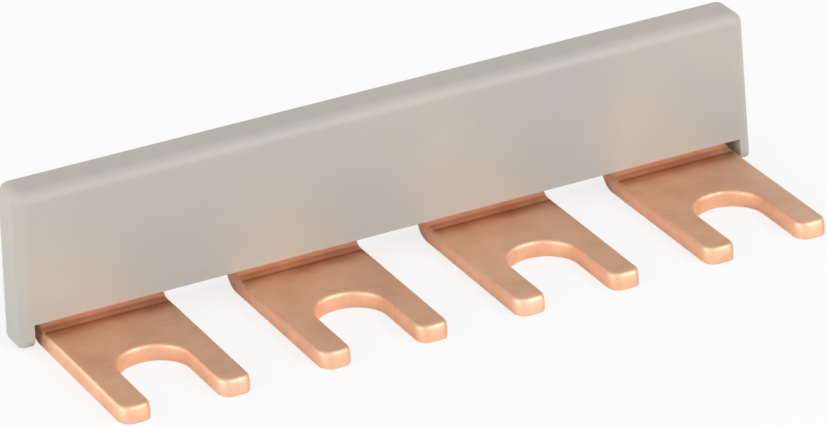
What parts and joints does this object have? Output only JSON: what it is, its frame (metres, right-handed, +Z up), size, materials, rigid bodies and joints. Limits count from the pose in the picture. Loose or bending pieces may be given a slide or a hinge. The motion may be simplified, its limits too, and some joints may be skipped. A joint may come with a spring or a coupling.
{
  "type": "comb busbar",
  "caption": "Comb busbar: a bent copper comb with open-ended fork lugs, its upright strip in a slim moulded insulating cover.",
  "frame": {"origin": "centre of the footprint, on the plane of the lugs' undersides", "axes": "+X along the row of lugs, -Y the way the lugs point, +Z up from the lugs to the cover's roof"},
  "size_m": [0.0688, 0.02, 0.0141],
  "materials": {
    "copper": "bare rolled copper, satin, with sheared edges",
    "cover": "pale warm grey moulding, satin"
  },
  "bodies": {
    "root": {"copper_comb": "copper", "insulating_cover": "cover"}
  },
  "joints": []
}
